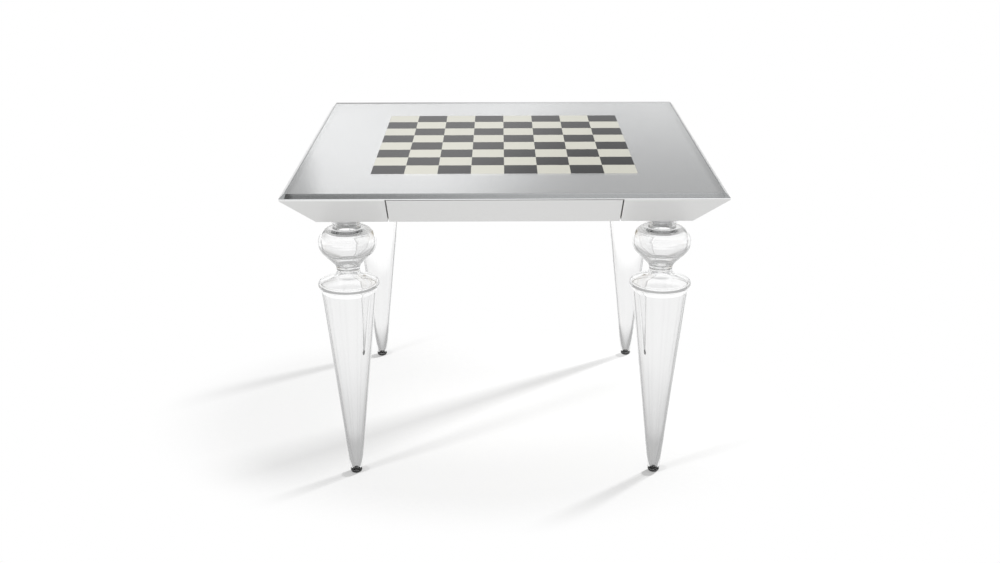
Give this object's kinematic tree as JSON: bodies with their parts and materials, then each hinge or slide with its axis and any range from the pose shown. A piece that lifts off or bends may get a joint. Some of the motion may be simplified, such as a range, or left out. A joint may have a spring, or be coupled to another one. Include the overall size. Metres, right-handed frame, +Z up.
{
  "type": "chess table",
  "caption": "Square chess table: bevelled glass top over a silver panel and inlaid board, sloping white apron with a drawer, and hollow blown glass legs.",
  "frame": {"origin": "on the floor under the middle of the top", "axes": "+Z up; -Y is the side with the drawer; -X and +X are the players' sides"},
  "size_m": [1, 1, 0.75],
  "materials": {
    "top_glass": "polished clear plate, bevelled",
    "silver_back": "silver, mirror bright",
    "dark_square": "dark grey inlay, smooth",
    "light_square": "cream inlay, smooth",
    "white_lacquer": "white satin lacquer on board",
    "carcass_timber": "plain, unpainted",
    "drawer_timber": "oiled",
    "lining_felt": "short nap felt",
    "runner_steel": "zinc plated",
    "steel": "brushed",
    "polished_metal": "polished",
    "brass": "turned",
    "leg_glass": "clear blown glass",
    "black_rubber": "satin"
  },
  "bodies": {
    "table": {"glass_top": "top_glass", "silver_panel": "silver_back", "board_dark_squares": "dark_square", "board_light_squares": "light_square", "top_board": "carcass_timber", "apron_left": "white_lacquer", "apron_right": "white_lacquer", "apron_back": "white_lacquer", "apron_front_left": "white_lacquer", "apron_front_right": "white_lacquer", "rail_left": "carcass_timber", "rail_right": "carcass_timber", "stop_rail": "carcass_timber", "bottom_panel_left": "white_lacquer", "bottom_panel_right": "white_lacquer", "bottom_panel_back": "white_lacquer", "drawer_buffers": "black_rubber", "plate_screws": "steel", "leg_insert_nuts": "brass", "runner_outer_left": "runner_steel", "runner_outer_right": "runner_steel", "corner_block_front_left": "carcass_timber", "corner_block_front_right": "carcass_timber", "corner_block_back_left": "carcass_timber", "corner_block_back_right": "carcass_timber", "leg_plate_front_left": "steel", "leg_plate_front_right": "steel", "leg_plate_back_left": "steel", "leg_plate_back_right": "steel", "leg_plug_front_left": "polished_metal", "leg_plug_front_right": "polished_metal", "leg_plug_back_left": "polished_metal", "leg_plug_back_right": "polished_metal", "leg_glass_front_left": "leg_glass", "leg_glass_front_right": "leg_glass", "leg_glass_back_left": "leg_glass", "leg_glass_back_right": "leg_glass", "foot_front_left": "black_rubber", "foot_front_right": "black_rubber", "foot_back_left": "black_rubber", "foot_back_right": "black_rubber"},
    "drawer": {"drawer_front": "white_lacquer", "drawer_inner_front": "drawer_timber", "drawer_side_left": "drawer_timber", "drawer_side_right": "drawer_timber", "drawer_back": "drawer_timber", "drawer_bottom": "drawer_timber", "drawer_lining": "lining_felt", "drawer_glue_blocks": "carcass_timber", "runner_inner_left": "runner_steel", "runner_inner_right": "runner_steel"},
    "runner_carriage_left": {"runner_middle_left": "runner_steel"},
    "runner_carriage_right": {"runner_middle_right": "runner_steel"}
  },
  "joints": [
    {"name": "drawer_slide", "type": "slide", "parent": "table", "child": "drawer", "axis": [0, -1, 0], "range_m": [0, 0.38]},
    {"name": "runner_slide_left", "type": "slide", "parent": "table", "child": "runner_carriage_left", "axis": [0, -1, 0], "range_m": [0, 0.19]},
    {"name": "runner_slide_right", "type": "slide", "parent": "table", "child": "runner_carriage_right", "axis": [0, -1, 0], "range_m": [0, 0.19]}
  ],
  "couplings": [
    {"joint": "runner_slide_left", "follows": "drawer_slide", "ratio": 0.5},
    {"joint": "runner_slide_right", "follows": "drawer_slide", "ratio": 0.5}
  ]
}
